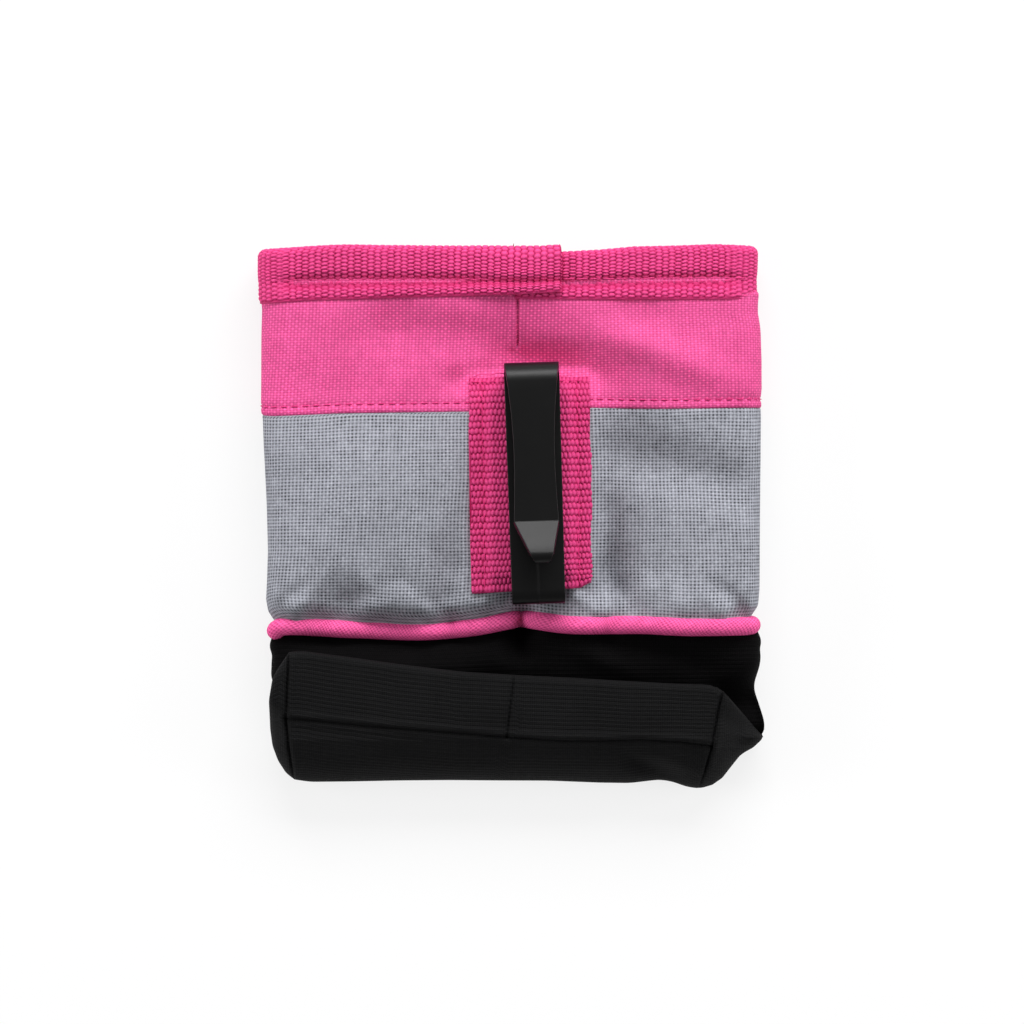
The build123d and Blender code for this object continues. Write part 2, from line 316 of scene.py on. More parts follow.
def seam_shift(x, y):
    """The back's seams run a little up and down instead of dead straight."""
    pull = 0.5 + 1.7 * peak(x, notch_x, 8.5) - 1.0 * peak(x, -24, 13)
    pull = pull + 1.0 * smooth((-x - 40) / 20) - 0.75 * smooth((x - 30) / 16)
    hem = 0.5 * peak(x, 20, 10) - 0.5 * smooth((-x - 38) / 22)
    near_seam = peak(y, seam_y, 13)
    near_hem = peak(y, hem_y, 12)
    return pull * near_seam + hem * near_hem


LAY_TURN = math.radians(0.75)


def lay(points):
    """The pouch's body lies turned a little from its rim."""
    x, y, z = np.moveaxis(points, -1, 0)
    turn = LAY_TURN * smooth((rim_y + 10 - y) / 40)
    about = rim_y - 46
    return np.stack([x - (y - about) * turn, y + x * turn, z], -1)


# How far each side wanders to +X, by height.
RIGHT_SIDE = [
    (-27, -24.5, -22.5, -19, 0, 24, 28, 31, 38, 45, 50, 55),
    (-0.1, -0.6, -0.5, -0.2, -0.1, 0.1, 0, 0.28, 0.25, 0, -0.45, 0),
]
LEFT_SIDE = [
    (-27, -24, -20, -15, -8, 4, 18, 25, 29, 34, 46, 52, 60),
    (0.05, 0.5, -0.1, 0.3, 0.7, 0.7, 0.4, 0.35, 0, 0.15, 0.5, 0.75, 0.3),
]


def pouch_rows(ys, inset=0.0, back_columns=BACK_COLUMNS, side_columns=SIDE_COLUMNS):
    """Rows of points round the pouch between the seam and the mouth, before it is laid down."""
    ys = np.asarray(ys, float)
    inset = np.broadcast_to(np.asarray(inset, float), ys.shape)
    high = thickness(ys) - inset
    x, z, arc = loops(half_width(ys) - inset, inset, high, back_columns, side_columns)
    y = np.broadcast_to(ys[:, None], x.shape)
    middle = (inset + high)[:, None] / 2
    rise = np.clip((z - middle) / (high[:, None] - middle), 0, 1)
    back = smooth(rise)
    z = z + back * back_relief(x, y)
    swell = 0.35 * ripple(y, np.sign(x) * 40, 26, 21) * (1 - np.abs(2 * back - 1))
    x = x + np.sign(x) * (np.abs(x) > 40) * swell
    below_binding = smooth((binding_y - 1 - y) / 8)
    x = x + smooth((x - 40) / 20) * (0.6 * below_binding + np.interp(y, *RIGHT_SIDE))
    x = x + smooth((-x - 40) / 20) * np.interp(y, *LEFT_SIDE)
    y = y + back * seam_shift(x, y)
    return np.stack([x, y, z], -1), arc


def normals_of(grid, closed=True):
    """Outward direction at each point of a grid of rows by columns."""
    if closed:
        along = np.roll(grid, -1, 1) - np.roll(grid, 1, 1)
    else:
        along = np.gradient(grid, axis=1)
    return unit(np.cross(along, np.gradient(grid, axis=0)))


# ---- Meshes ----
def mesh_piece(name, points, faces, uv, material):
    """A smooth-shaded piece from millimetre points, with its cloth coordinates in millimetres."""
    mesh = bpy.data.meshes.new(name)
    points = np.asarray(points, float).reshape(-1, 3) / 1000
    faces = np.asarray(faces, np.int32)
    mesh.vertices.add(len(points))
    mesh.vertices.foreach_set("co", points.ravel())
    mesh.loops.add(faces.size)
    mesh.loops.foreach_set("vertex_index", faces.ravel())
    mesh.polygons.add(len(faces))
    mesh.polygons.foreach_set("loop_start", np.arange(len(faces), dtype=np.int32) * faces.shape[1])
    mesh.polygons.foreach_set("use_smooth", np.ones(len(faces), bool))
    mesh.update(calc_edges=True)
    layer = mesh.uv_layers.new(name="cloth")
    layer.data.foreach_set("uv", np.asarray(uv, np.float32).reshape(-1))
    work = bmesh.new()
    work.from_mesh(mesh)
    bmesh.ops.recalc_face_normals(work, faces=work.faces)
    work.to_mesh(mesh)
    work.free()
    piece = bpy.data.objects.new(name, mesh)
    bpy.context.scene.collection.objects.link(piece)
    mesh.materials.append(material)
    return piece


def grid_faces(rows, columns, close_rows, close_columns, flip=False):
    """Quads of a grid, with each corner's row and column for its cloth coordinates."""
    r = np.arange(rows if close_rows else rows - 1)[:, None]
    c = np.arange(columns if close_columns else columns - 1)[None, :]
    r, c = np.broadcast_arrays(r, c)
    corner_r = np.stack([r, r + 1, r + 1, r], -1).reshape(-1, 4)
    corner_c = np.stack([c, c, c + 1, c + 1], -1).reshape(-1, 4)
    if flip:
        corner_r, corner_c = corner_r[:, ::-1], corner_c[:, ::-1]
    faces = (corner_r % rows) * columns + corner_c % columns
    return faces, corner_r, corner_c


def shell(name, outer, arc, depth, material, closed=True, inner_step=4, detail=None):
    """A cloth piece with thickness and rounded edges, from rows of points over its outer face.

    detail lifts the outer face by this much at each point.
    """
    normal = normals_of(outer, closed)
    rows, columns = outer.shape[:2]
    step = np.linalg.norm(np.diff(outer, axis=0), axis=-1)
    lengths = np.r_[0, np.cumsum(np.median(step, axis=1))]
    face = outer if detail is None else outer + normal * detail[..., None]
    keep = np.unique(np.r_[np.arange(rows - 1, -1, -inner_step), 0])[::-1]
    inner = outer[keep] - normal[keep] * depth
    parts, spans = [face], [lengths]

    def rim(row, onward):
        edge, out = outer[row], normal[row]
        run = unit(onward)
        for turn in (45, 90, 135):
            t = math.radians(turn)
            centre = edge - out * depth / 2
            yield centre + out * math.cos(t) * depth / 2 + run * math.sin(t) * depth / 2

    end = list(rim(-1, outer[-1] - outer[-2]))
    start = list(rim(0, outer[0] - outer[1]))
    parts += [np.array(end), inner, np.array(start[::-1])]
    step = depth * 0.5
    span_end = lengths[-1] + step * np.arange(1, 4)
    spans += [span_end, 2 * lengths[-1] + 4 * step - lengths[keep]]
    last = spans[-1][-1]
    spans += [last + step * np.arange(1, 4)]
    grid = np.concatenate(parts)
    span = np.concatenate(spans)
    span = np.r_[span, span[-1] + step]
    faces, corner_r, corner_c = grid_faces(len(grid), columns, True, closed)
    if arc.shape[0] == 1:
        arcs = np.repeat(arc, len(grid) + 1, 0)
    else:
        arcs = np.concatenate([arc, np.repeat(arc[-1:], 3, 0), arc[keep], np.repeat(arc[:1], 4, 0)])
    uv = np.stack([arcs[corner_r, corner_c], span[corner_r]], -1)
    piece = mesh_piece(name, grid, faces, uv, material)
    if not closed:
        cap_ends(piece, len(grid), columns)
    return piece


def cap_ends(piece, rows, columns):
    """Closes the two open ends of a strip that goes all round its own width."""
    work = bmesh.new()
    work.from_mesh(piece.data)
    work.verts.ensure_lookup_table()
    for column in (0, columns - 1):
        ring = [work.verts[r * columns + column] for r in range(rows)]
        if column == 0:
            ring.reverse()
        face = work.faces.new(ring)
        face.smooth = False
        bmesh.ops.triangulate(work, faces=[face])
    bmesh.ops.recalc_face_normals(work, faces=work.faces)
    work.to_mesh(piece.data)
    work.free()


def rings_along(path, first, second, radius, sides):
    """A ring of points round each point of a path, in the plane of two directions."""
    turn = 2 * np.pi * np.arange(sides) / sides
    return path[:, None] + radius * (
        first[:, None] * np.cos(turn)[None, :, None] + second[:, None] * np.sin(turn)[None, :, None]
    )


def thread_mesh(name, paths, radius, material):
    """Thin threads, each along its own list of points."""
    sides = 6
    points, faces, uvs = [], [], []
    start = 0
    for path in paths:
        path = np.asarray(path, float)
        run = unit(np.gradient(path, axis=0))
        side = np.cross(run, [0.0, 0.0, 1.0])
        weak = np.linalg.norm(side, axis=1) < 0.1
        side[weak] = np.cross(run[weak], [1.0, 0.0, 0.0])
        side = unit(side)
        over = np.cross(side, run)
        width = np.full(len(path), radius)
        width[[0, -1]] *= 0.35
        ring = rings_along(path, side, over, width[:, None, None], sides)
        quad, corner_r, corner_c = grid_faces(len(path), sides, False, True, flip=True)
        points.append(ring.reshape(-1, 3))
        faces.append(quad + start)
        uvs.append(np.stack([corner_c * radius, distances(path)[corner_r]], -1))
        start += len(path) * sides
    return mesh_piece(name, np.concatenate(points), np.concatenate(faces), np.concatenate(uvs), material)


def stitches(line, outward, length, gap, lift, sink, waver, seed):
    """Paths of single stitches along a dense line of points on the cloth."""
    rng = np.random.default_rng(seed)
    line, outward = np.asarray(line, float), np.asarray(outward, float)
    distance = distances(line)
    share = np.linspace(0, 1, 7)
    rise = -sink + (lift + sink) * np.sin(np.pi * share) ** 0.6
    paths = []
    place = 0.3
    while place + length < distance[-1]:
        s = place + length * share
        at = np.stack([np.interp(s, distance, line[:, i]) for i in range(3)], 1)
        out = np.stack([np.interp(s, distance, outward[:, i]) for i in range(3)], 1)
        slant = waver * rng.uniform(-1, 1)
        drift = unit(np.cross(out, np.gradient(at, axis=0)))
        paths.append(at + out * rise[:, None] + drift * (slant * np.linspace(-1, 1, 7))[:, None])
        place += length + gap
    return paths


def beads(along, across, pick, end):
    """Height, 0 to 1, of webbing's surface: warp ends floating over one pick and under the next."""
    height = np.zeros(np.broadcast(along, across).shape)
    across = across + 0.07 * np.sin(0.8 * along) + 0.05 * np.sin(2.1 * along + 1)
    along = along + 0.05 * np.sin(1.9 * across) + 0.04 * np.sin(4.3 * across + 2)
    column = np.floor(along / pick)
    row = np.floor(across / end)
    for i in (-1, 0, 1, 2):
        for j in (-1, 0, 1, 2):
            c, r = column + i, row + j
            over = (c + r) % 2 == 0
            dl = (along - (c + 0.5) * pick) / (0.53 * pick)
            dw = (across - (r + 0.5) * end) / end
            bump = np.sqrt(np.clip(1 - np.abs(dl) ** 2.8 - dw * dw, 0, 1))
            height = np.maximum(height, np.where(over, bump, 0))
    return height


# ---- Materials ----
class Graph:
    """Short way to write a material's nodes."""

    def __init__(self, name):
        self.material = bpy.data.materials.new(name)
        self.material.use_nodes = True
        self.tree = self.material.node_tree
        self.tree.nodes.clear()
        self.output = self.tree.nodes.new("ShaderNodeOutputMaterial")
        self.shader = self.tree.nodes.new("ShaderNodeBsdfPrincipled")
        self.tree.links.new(self.shader.outputs[0], self.output.inputs[0])

    def new(self, kind, **inputs):
        node = self.tree.nodes.new(kind)
        for key, value in inputs.items():
            self.put(node.inputs[key.replace("_", " ")], value)
        return node

    def surface(self, **inputs):
        for key, value in inputs.items():
            self.put(self.shader.inputs[key.replace("_", " ")], value)

    def put(self, socket, value):
        if isinstance(value, bpy.types.NodeSocket):
            self.tree.links.new(value, socket)
        else:
            socket.default_value = value

    def math(self, operation, a, b=0.0, c=0.0):
        node = self.tree.nodes.new("ShaderNodeMath")
        node.operation = operation
        for socket, value in zip(node.inputs, (a, b, c)):
            self.put(socket, value)
        return node.outputs[0]

    def mix(self, factor, a, b):
        node = self.tree.nodes.new("ShaderNodeMix")
        node.data_type = "RGBA"
        self.put(node.inputs[0], factor)
        self.put(node.inputs[6], a)
        self.put(node.inputs[7], b)
        return node.outputs[2]

    def scale(self, colour, factor):
        node = self.tree.nodes.new("ShaderNodeVectorMath")
        node.operation = "SCALE"
        self.put(node.inputs[0], colour)
        self.put(node.inputs["Scale"], factor)
        return node.outputs[0]

    def cloth_place(self, turn=0.0):
        """Cloth coordinates in millimetres, along and across, turned by an angle."""
        node = self.tree.nodes.new("ShaderNodeUVMap")
        node.uv_map = "cloth"
        split = self.new("ShaderNodeSeparateXYZ", Vector=node.outputs[0])
        x, y = split.outputs[0], split.outputs[1]
        if turn:
            c, s = math.cos(turn), math.sin(turn)
            return (
                self.math("SUBTRACT", self.math("MULTIPLY", x, c), self.math("MULTIPLY", y, s)),
                self.math("ADD", self.math("MULTIPLY", x, s), self.math("MULTIPLY", y, c)),
            )
        return x, y

    def noise(self, scale, detail):
        node = self.new("ShaderNodeTexNoise", Scale=scale, Detail=detail)
        self.put(node.inputs["Vector"], self.new("ShaderNodeTexCoord").outputs["Object"])
        return node.outputs[0]

    def random(self, value):
        node = self.tree.nodes.new("ShaderNodeTexWhiteNoise")
        node.noise_dimensions = "1D"
        self.put(node.inputs["W"], value)
        return node.outputs[0]

    def bump(self, height, distance, strength=1.0, under=None):
        node = self.new("ShaderNodeBump", Height=height, Distance=distance, Strength=strength)
        if under is not None:
            self.put(node.inputs["Normal"], under)
        return node.outputs[0]

    def ramp(self, value, low, high):
        node = self.new("ShaderNodeMapRange", Value=value)
        node.inputs["From Min"].default_value = 0.0
        node.inputs["From Max"].default_value = 1.0
        node.inputs["To Min"].default_value = low
        node.inputs["To Max"].default_value = high
        return node.outputs[0]


def plain_weave(g, pitch, turn=0.0, weft_tone=0.8, wander=0.0):
    """Height, tone and painted hole shade of a plain weave.

    The height is 0 in the gaps and 1 on the crowns. The tone varies at random from thread to thread and is
    lower on the weft. It also lightens each warp crown towards its middle as a painted highlight. The hole
    shade darkens, as painted shade, where four threads meet.
    """
    x, y = g.cloth_place(turn)
    if wander:
        x = g.math("ADD", x, g.ramp(g.noise(34.0, 1.0), -wander, wander))
        y = g.math("ADD", y, g.ramp(g.noise(29.0, 1.0), -wander, wander))
    u, v = g.math("DIVIDE", x, pitch[0]), g.math("DIVIDE", y, pitch[1])
    iu, iv = g.math("FLOOR", u), g.math("FLOOR", v)
    fu, fv = g.math("FRACT", u), g.math("FRACT", v)
    hu = g.math("SINE", g.math("MULTIPLY", fu, math.pi))
    hv = g.math("SINE", g.math("MULTIPLY", fv, math.pi))
    ru, rv = g.math("POWER", hu, 0.6), g.math("POWER", hv, 0.6)
    warp = g.math("MULTIPLY", ru, g.ramp(hv, 0.45, 1.0))
    weft = g.math("MULTIPLY", rv, g.ramp(hu, 0.45, 1.0))
    parity = g.math("MODULO", g.math("ABSOLUTE", g.math("ADD", iu, iv)), 2.0)
    blend = g.new("ShaderNodeMix", Factor=parity)
    g.put(blend.inputs[2], warp)
    g.put(blend.inputs[3], weft)
    height = blend.outputs[0]
    shade = g.new("ShaderNodeMix", Factor=parity)
    # Painted highlight: each warp crown is lighter towards its middle.
    warp_crown_highlight = g.ramp(g.math("MULTIPLY", hu, hv), 0.8 * weft_tone, 1.0)
    g.put(shade.inputs[2], g.math("MULTIPLY", warp_crown_highlight, g.ramp(g.random(iu), 0.93, 1.07)))
    g.put(shade.inputs[3], g.ramp(g.random(g.math("ADD", iv, 71.3)), 0.93 * weft_tone, 1.07 * weft_tone))
    # Painted shade: the holes where four threads meet darken towards the gap shade colour.
    corner = g.math("MULTIPLY", g.math("SUBTRACT", 1.0, hu), g.math("SUBTRACT", 1.0, hv))
    hole_shade = g.math("MULTIPLY", g.math("POWER", corner, 0.5), g.ramp(g.noise(420.0, 1.0), 0.35, 1.65))
    return height, shade.outputs[0], hole_shade


def woven(name, gap_shade_colour, colour, pitch, deep, weft_tone, turn=0.0, wander=0.0):
    """Plain-woven polyester: crowns lightened as a painted highlight, gaps and holes darkened to a deeper
    colour as painted shade, and no two threads quite alike.
    """
    g = Graph(name)
    height, shade, hole_shade = plain_weave(g, pitch, turn, weft_tone, wander)
    cloudy = g.ramp(g.noise(45.0, 3.0), 0.92, 1.08)
    cloudy = g.math("MULTIPLY", cloudy, g.ramp(g.noise(480.0, 1.0), 0.84, 1.16))
    tone = g.math("MULTIPLY", shade, cloudy)
    # Painted shade: the threads' colour darkens to the gap shade colour in the holes.
    thread_colour_with_gap_shade = g.mix(hole_shade, (*colour, 1.0), (*gap_shade_colour, 1.0))
    fine = g.bump(g.noise(2500.0, 1.0), 0.00003, 0.5)
    g.surface(
        Base_Color=g.scale(thread_colour_with_gap_shade, tone), Roughness=g.ramp(height, 0.85, 0.7),
        Specular_IOR_Level=0.15, Normal=g.bump(height, deep, 1.0, fine),
    )
    return g.material


def webbing_material(name, gap_shade_colour, colour):
    """Webbing's own beads are geometry, so this adds its fibres and, as painted shade, a deeper, darker
    colour in the gaps between the beads.
    """
    g = Graph(name)
    x, y = g.cloth_place()
    slant = g.math("ADD", x, g.math("MULTIPLY", y, 0.5))
    strand = g.math("SINE", g.math("MULTIPLY", slant, 26.0))
    cloudy = g.noise(60.0, 3.0)
    # Painted shade: the stored bead height darkens the gaps towards the gap shade colour.
    depth = g.new("ShaderNodeAttribute")
    depth.attribute_name = "crown_shade"
    thread_colour_with_gap_shade = g.mix(depth.outputs["Fac"], (*gap_shade_colour, 1.0), (*colour, 1.0))
    g.surface(
        Base_Color=g.scale(thread_colour_with_gap_shade, g.ramp(cloudy, 0.88, 1.12)), Roughness=g.ramp(cloudy, 0.56, 0.72),
        Specular_IOR_Level=0.12, Normal=g.bump(strand, 0.00004, 0.5),
    )
    return g.material


def moulded_plastic(name, colour):
    """Satin plastic with a fine grain and cloudy gloss."""
    g = Graph(name)
    speck = g.noise(900.0, 2.0)
    smear = g.noise(70.0, 3.0)
    g.surface(
        Base_Color=g.scale(colour, g.ramp(smear, 0.8, 1.2)), Roughness=g.ramp(smear, 0.36, 0.46),
        Specular_IOR_Level=0.25, Normal=g.bump(speck, 0.00003, 0.35),
    )
    return g.material


def ribbed_black(name, colour, pitch, lit_crown_tone, rough=0.8, gloss=0.12):
    """Fine black cloth with faint ribs along it, its crowns lightened as a painted highlight and its gaps
    and ribs darkened as painted shade.
    """
    g = Graph(name)
    height, shade, _ = plain_weave(g, pitch)
    _, y = g.cloth_place()
    rib = g.math("SINE", g.math("MULTIPLY", y, 2 * math.pi / 1.15))
    rough_cloud = g.noise(55.0, 4.0)
    # Painted light and shade: the colour is lighter on the crowns and darker in the gaps.
    tone = g.math("MULTIPLY", g.ramp(g.math("POWER", height, 1.5), 0.3, lit_crown_tone), shade)
    tone = g.math("MULTIPLY", tone, g.ramp(rough_cloud, 0.6, 1.4))
    # Painted shade: the colour also rises and falls a little with the ribs.
    tone = g.math("MULTIPLY", tone, g.math("ADD", 1.0, g.math("MULTIPLY", rib, 0.05)))
    fine = g.bump(rib, 0.00006, 0.7)
    g.surface(
        Base_Color=g.scale(colour, tone), Roughness=rough,
        Specular_IOR_Level=gloss, Normal=g.bump(height, 0.00009, 1.0, fine),
    )
    return g.material


pink_cloth = woven(
    "pink_fabric", (0.78, 0.05, 0.24), (1.0, 0.13, 0.40),
    pitch=(0.88, 0.62), deep=0.00005, weft_tone=0.67, wander=1.0,
)
grey_cloth = woven(
    "grey_fabric", (0.022, 0.023, 0.029), (0.395, 0.405, 0.458),
    pitch=(0.93, 0.85), deep=0.00008, weft_tone=0.86, wander=1.0,
)
piping_cloth = woven(
    "pink_piping", (0.62, 0.025, 0.16), (1.0, 0.135, 0.41),
    pitch=(0.8, 0.62), deep=0.00011, weft_tone=0.9, turn=0.6,
)
tape = webbing_material("pink_webbing", (0.36, 0.002, 0.065), (0.77, 0.07, 0.26))
patch_tape = webbing_material("pink_webbing_patch", (0.32, 0.002, 0.058), (0.70, 0.062, 0.232))
bright_thread = webbing_material("bright_thread", (0.74, 0.06, 0.24), (0.74, 0.06, 0.24))
# Painted shade: the stitch thread is darker than the cloth it sews, standing for the shade in its stitch
# holes.
thread_with_painted_shade = webbing_material("pink_thread_painted_shade", (0.64, 0.035, 0.185), (0.64, 0.035, 0.185))
black_cloth = ribbed_black("black_fabric", (0.0042, 0.0042, 0.0045), (0.55, 0.5), 2.3)
# Painted shade: the wall is the same black cloth as the base, made darker and less glossy for its shaded
# hollow below the piping and the flap.
shaded_wall_cloth = ribbed_black("black_fabric_wall_painted_shade", (0.0022, 0.0020, 0.0022), (0.55, 0.5), 2.1, gloss=0.04)
lining_cloth = ribbed_black("lining_fabric", (0.02, 0.02, 0.022), (0.3, 0.3), 1.3, rough=0.6)
plastic = moulded_plastic("black_plastic", (0.0013, 0.0013, 0.0014))


def across_mouth(piece):
    """Bakes a piece's placement into its mesh."""
    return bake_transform(piece)


def crown_shade(piece, values):
    """Stores the height of a webbing's beads for its material, which darkens the gaps between them as
    painted shade.
    """
    layer = piece.data.attributes.new("crown_shade", "FLOAT", "POINT")
    full = np.full(len(piece.data.vertices), 0.6, np.float32)
    full[: values.size] = values.ravel()
    layer.data.foreach_set("value", full)


# ---- Upper band ----
def layer_ys(low, high, step=row_step):
    """Evenly spaced heights for a layer's rows."""
    return np.linspace(low, high, int(round((high - low) / step)) + 1)


hem_stitch_height = 1.9
ys = layer_ys(hem_y, rim_y - cloth_below_rim)
inset = 0.9 * smooth((ys - binding_y + 0.3) / 2.0)
rows, arc = pouch_rows(ys, inset)
x, y = rows[..., 0], ys[:, None]
back_side = rows[..., 2] > thickness(ys)[:, None] * 0.6
relief = -0.22 * peak(y - hem_y, hem_stitch_height, 0.45) + 0.18 * peak(y - hem_y, 0.6, 0.9)
seam_gap = np.abs(x - back_seam_x)
relief = relief + back_side * (0.22 * peak(seam_gap, 1.3, 0.9) - 0.75 * peak(seam_gap, 0, 0.35))
# The front lies on the table, so nothing on it stands proud.
relief = relief - 0.2 * smooth(1 - rows[..., 2] / 2)
band = shell("upper_band_cloth", lay(rows), arc, cloth, pink_cloth, detail=relief)
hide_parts("upper_band", "upper_band_mouth_lip")
across_mouth(band)


def stitch_row(name, level, lift, length, gap, width, material, keep, waver=0.0):
    """A line of stitches right round the pouch at this height, where keep says so."""
    around, _ = pouch_rows([level - 0.3, level, level + 0.3])
    around = lay(around)
    out = normals_of(around)[1]
    line = around[1].copy()
    line[:, 2] += 0.3 * smooth(1 - line[:, 2] / 2)
    line, out = np.r_[line, line[:1]], np.r_[out, out[:1]]
    paths = stitches(line, out, length, gap, lift, 0.25, waver, 1)
    return thread_mesh(name, [p for p in paths if keep(p.mean(0))], width, material)


def outside_patch(p):
    return not (patch_low[0] + 1 < p[0] < patch_high[0] - 1 and p[2] > 9)


hem_thread = stitch_row(
    "hem_stitches", hem_y + hem_stitch_height, lift=0.1, length=1.9, gap=0.8, width=0.14,
    material=thread_with_painted_shade, keep=outside_patch,
)
across_mouth(hem_thread)

# ---- Body panel ----
panel_lap = 4.5
ys = layer_ys(seam_y + 0.6, hem_y + panel_lap)
foot = smooth((seam_y + 5.5 - ys) / 4.8)
inset = 0.95 * smooth((ys - hem_y + 0.8) / 1.8) + 0.8 * foot**2
rows, arc = pouch_rows(ys, inset)
side = smooth((np.abs(rows[..., 0]) - 46) / 16)
rows[..., 0] -= np.sign(rows[..., 0]) * side * (2.0 * foot)[:, None]
panel = shell("body_panel_cloth", lay(rows), arc, cloth, grey_cloth)
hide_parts("grey_body_panel")
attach(panel, "pouch")

# ---- Piping ----
def tube(name, path, radius, material, sides):
    """A closed tube along a closed loop of points."""
    run = unit(np.roll(path, -1, 0) - np.roll(path, 1, 0))
    out = unit(np.cross([0.0, 1.0, 0.0], run))
    ring = rings_along(path, out, np.cross(run, out), radius, sides)
    distance = distances(np.r_[path, path[:1]])
    faces, corner_r, corner_c = grid_faces(len(path), sides, True, True)
    uv = np.stack([distance[corner_r], corner_c * 2 * np.pi * radius / sides], -1)
    return mesh_piece(name, ring, faces, uv, material)


around, _ = pouch_rows([seam_y - 0.3, seam_y, seam_y + 0.3], cord_radius)
path = lay(around)[1]
on_back = smooth((around[1, :, 2] - 7) / 5)
tight = peak(around[1, :, 0], notch_x, 1.5) * on_back
path[:, 2] += 0.7 * on_back - 1.5 * tight
path[:, 1] += 0.4 * tight + 0.4 * (1 - on_back) * smooth((-40 - path[:, 0]) / 10)
path[:, 2] += 0.25 * (1 - on_back)
cover_radius = cord_radius * 1.09
piping = tube("piping_cord_cover", path, cover_radius, piping_cloth, sides=20)
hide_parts("base_piping")
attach(piping, "pouch")

# ---- Black wall ----
wall_top = seam_y - 0.6
ys = layer_ys(tuck_y - 7.0, wall_top)
down = (wall_top - ys) / (wall_top - tuck_y)
half = half_seam + 0.2 - 1.7 * smooth((ys - wall_top + 4.5) / 4.5)
high = np.interp(down, [0, 0.18, 0.4, 0.7, 1.0, 1.3], [16.6, 16.8, 15.6, 13.4, 12.6, 12.4])
low = np.interp(down, [0, 0.2, 1.3], [1.6, 0.0, 0.0])
closing = np.clip((tuck_y - 2.5 - ys) / 4.6, 0, 0.995)
closing = np.sqrt(1 - closing**2)
centre = 7.0
high, low = centre + (high - centre) * closing, centre + (low - centre) * closing
half = half - 1.5 * (1 - closing)
x, z, arc = loops(half, low, high)
y = np.broadcast_to(ys[:, None], x.shape)
back = smooth(np.clip((z - high[:, None] / 2) / (high[:, None] / 2), 0, 1))
wall_folds = [
    ((8, -31), (34, -41), 2.6, 0.8),
    ((30, -31), (52, -40), 3.0, -0.9),
    ((-20, -31), (2, -38), 2.6, 0.7),
    ((-56, -31), (-30, -36), 3.0, -0.6),
]
wrinkle = back_relief(x, np.full_like(x, seam_y)) * smooth((y - wall_top + 10) / 10)
wrinkle = wrinkle + dimple(x, y, (notch_x, wall_top - 4), (3.0, 6.0), -1.2)
wrinkle = with_folds(wrinkle, x, y, wall_folds) + 0.25 * ripple(x, y, 14, 31)
wrinkle = wrinkle - 4.5 * smooth((x - 44) / 12) * smooth((-40 - y) / 8)
z = z + back * wrinkle
right = smooth((x - 40) / 18)
left = smooth((-x - 40) / 18)
under_cord = peak(y, -33, 2.4)
right_shift = 0.6 + 0.9 * smooth((-48 - y) / 7) - 1.8 * peak(y, -43.5, 4.5) - 0.35 * under_cord
left_shift = 0.6 + 3.5 * smooth((-38 - y) / 10) + 0.4 * peak(y, -37, 3) + 0.6 * under_cord
x = x + right * right_shift
x = x + (0.7 * right - 0.9 * left) * smooth((y - wall_top + 6) / 4)
x = x + left * left_shift
y = y + back * seam_shift(x, y) * smooth((y + 42) / 12)
wall = shell("base_wall_cloth", lay(np.stack([x, y, z], -1)), arc, cloth, shaded_wall_cloth)
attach(wall, "pouch")

# ---- Folded base ----
# Its outline as it lies: the crease along the top, a gusset at each side, the fold at the bottom.
crease = rounded_line(
    [(-55, -33.9), (-52.3, -33.5), (-42.5, -34.8), (-27.5, -36.9), (-12.5, -38.7), (1.5, -39.6),
     (12.5, -40.1), (27.5, -41.0), (42.5, -41.8), (50, -42.0), (53, -43.2), (54.4, -45)], 181)
bottom = rounded_line(
    [(-54, -66.0), (-50, -66.6), (-40, -66.5), (-27.5, -66.25), (-15, -66.15), (-2.5, -66.25), (10, -66.3),
     (22.5, -66.8), (30, -66.9), (37.5, -66.0), (41, -66.6), (44, -67.8), (47.5, -68.3),
     (50.7, -67.35)], 181)
left_side = rounded_line(
    [(-55, -33.9), (-57.7, -37.8), (-59.2, -40.5), (-60.1, -46), (-60, -53), (-59.4, -57.5), (-58, -61.3),
     (-56.1, -64.3), (-54, -66.0)], 121)
right_side = rounded_line(
    [(54.4, -45), (58.6, -49.8), (63.0, -54.8), (63.3, -55.4), (62.9, -56.1), (60.9, -58.0),
     (58.9, -59.1), (57.6, -60.0), (56, -62), (53.2, -65.6), (50.7, -67.35)], 121)


def coons(top, low, left, right):
    """Grid of plan points inside four sides."""
    u = np.linspace(0, 1, len(top))[None, :, None]
    v = np.linspace(0, 1, len(left))[:, None, None]
    straight = (
        top[0] * (1 - u) * (1 - v) + top[-1] * u * (1 - v) + low[0] * (1 - u) * v + low[-1] * u * v
    )
    return top[None] * (1 - v) + low[None] * v + left[:, None] * (1 - u) + right[:, None] * u - straight


def eased(points, count):
    """The same line with its points crowded towards both ends."""
    strength = 0.75
    t = np.linspace(0, 1, count)
    t = (1 - strength) * t + strength * (0.5 - 0.5 * np.cos(np.pi * t))
    steps = np.linspace(0, 1, len(points))
    return np.stack([np.interp(t, steps, points[:, i]) for i in (0, 1)], 1)


columns, levels = 381, 191
plan = coons(
    eased(crease, columns), eased(bottom, columns), eased(left_side, levels), eased(right_side, levels)
)
px, py = plan[..., 0], plan[..., 1]
rim_line = np.concatenate([crease[::3], right_side[::3], bottom[::-3], left_side[::-3]])
rim_line = np.concatenate([rim_line, rim_line[:1]])
edge = line_distance(px, py, rim_line)

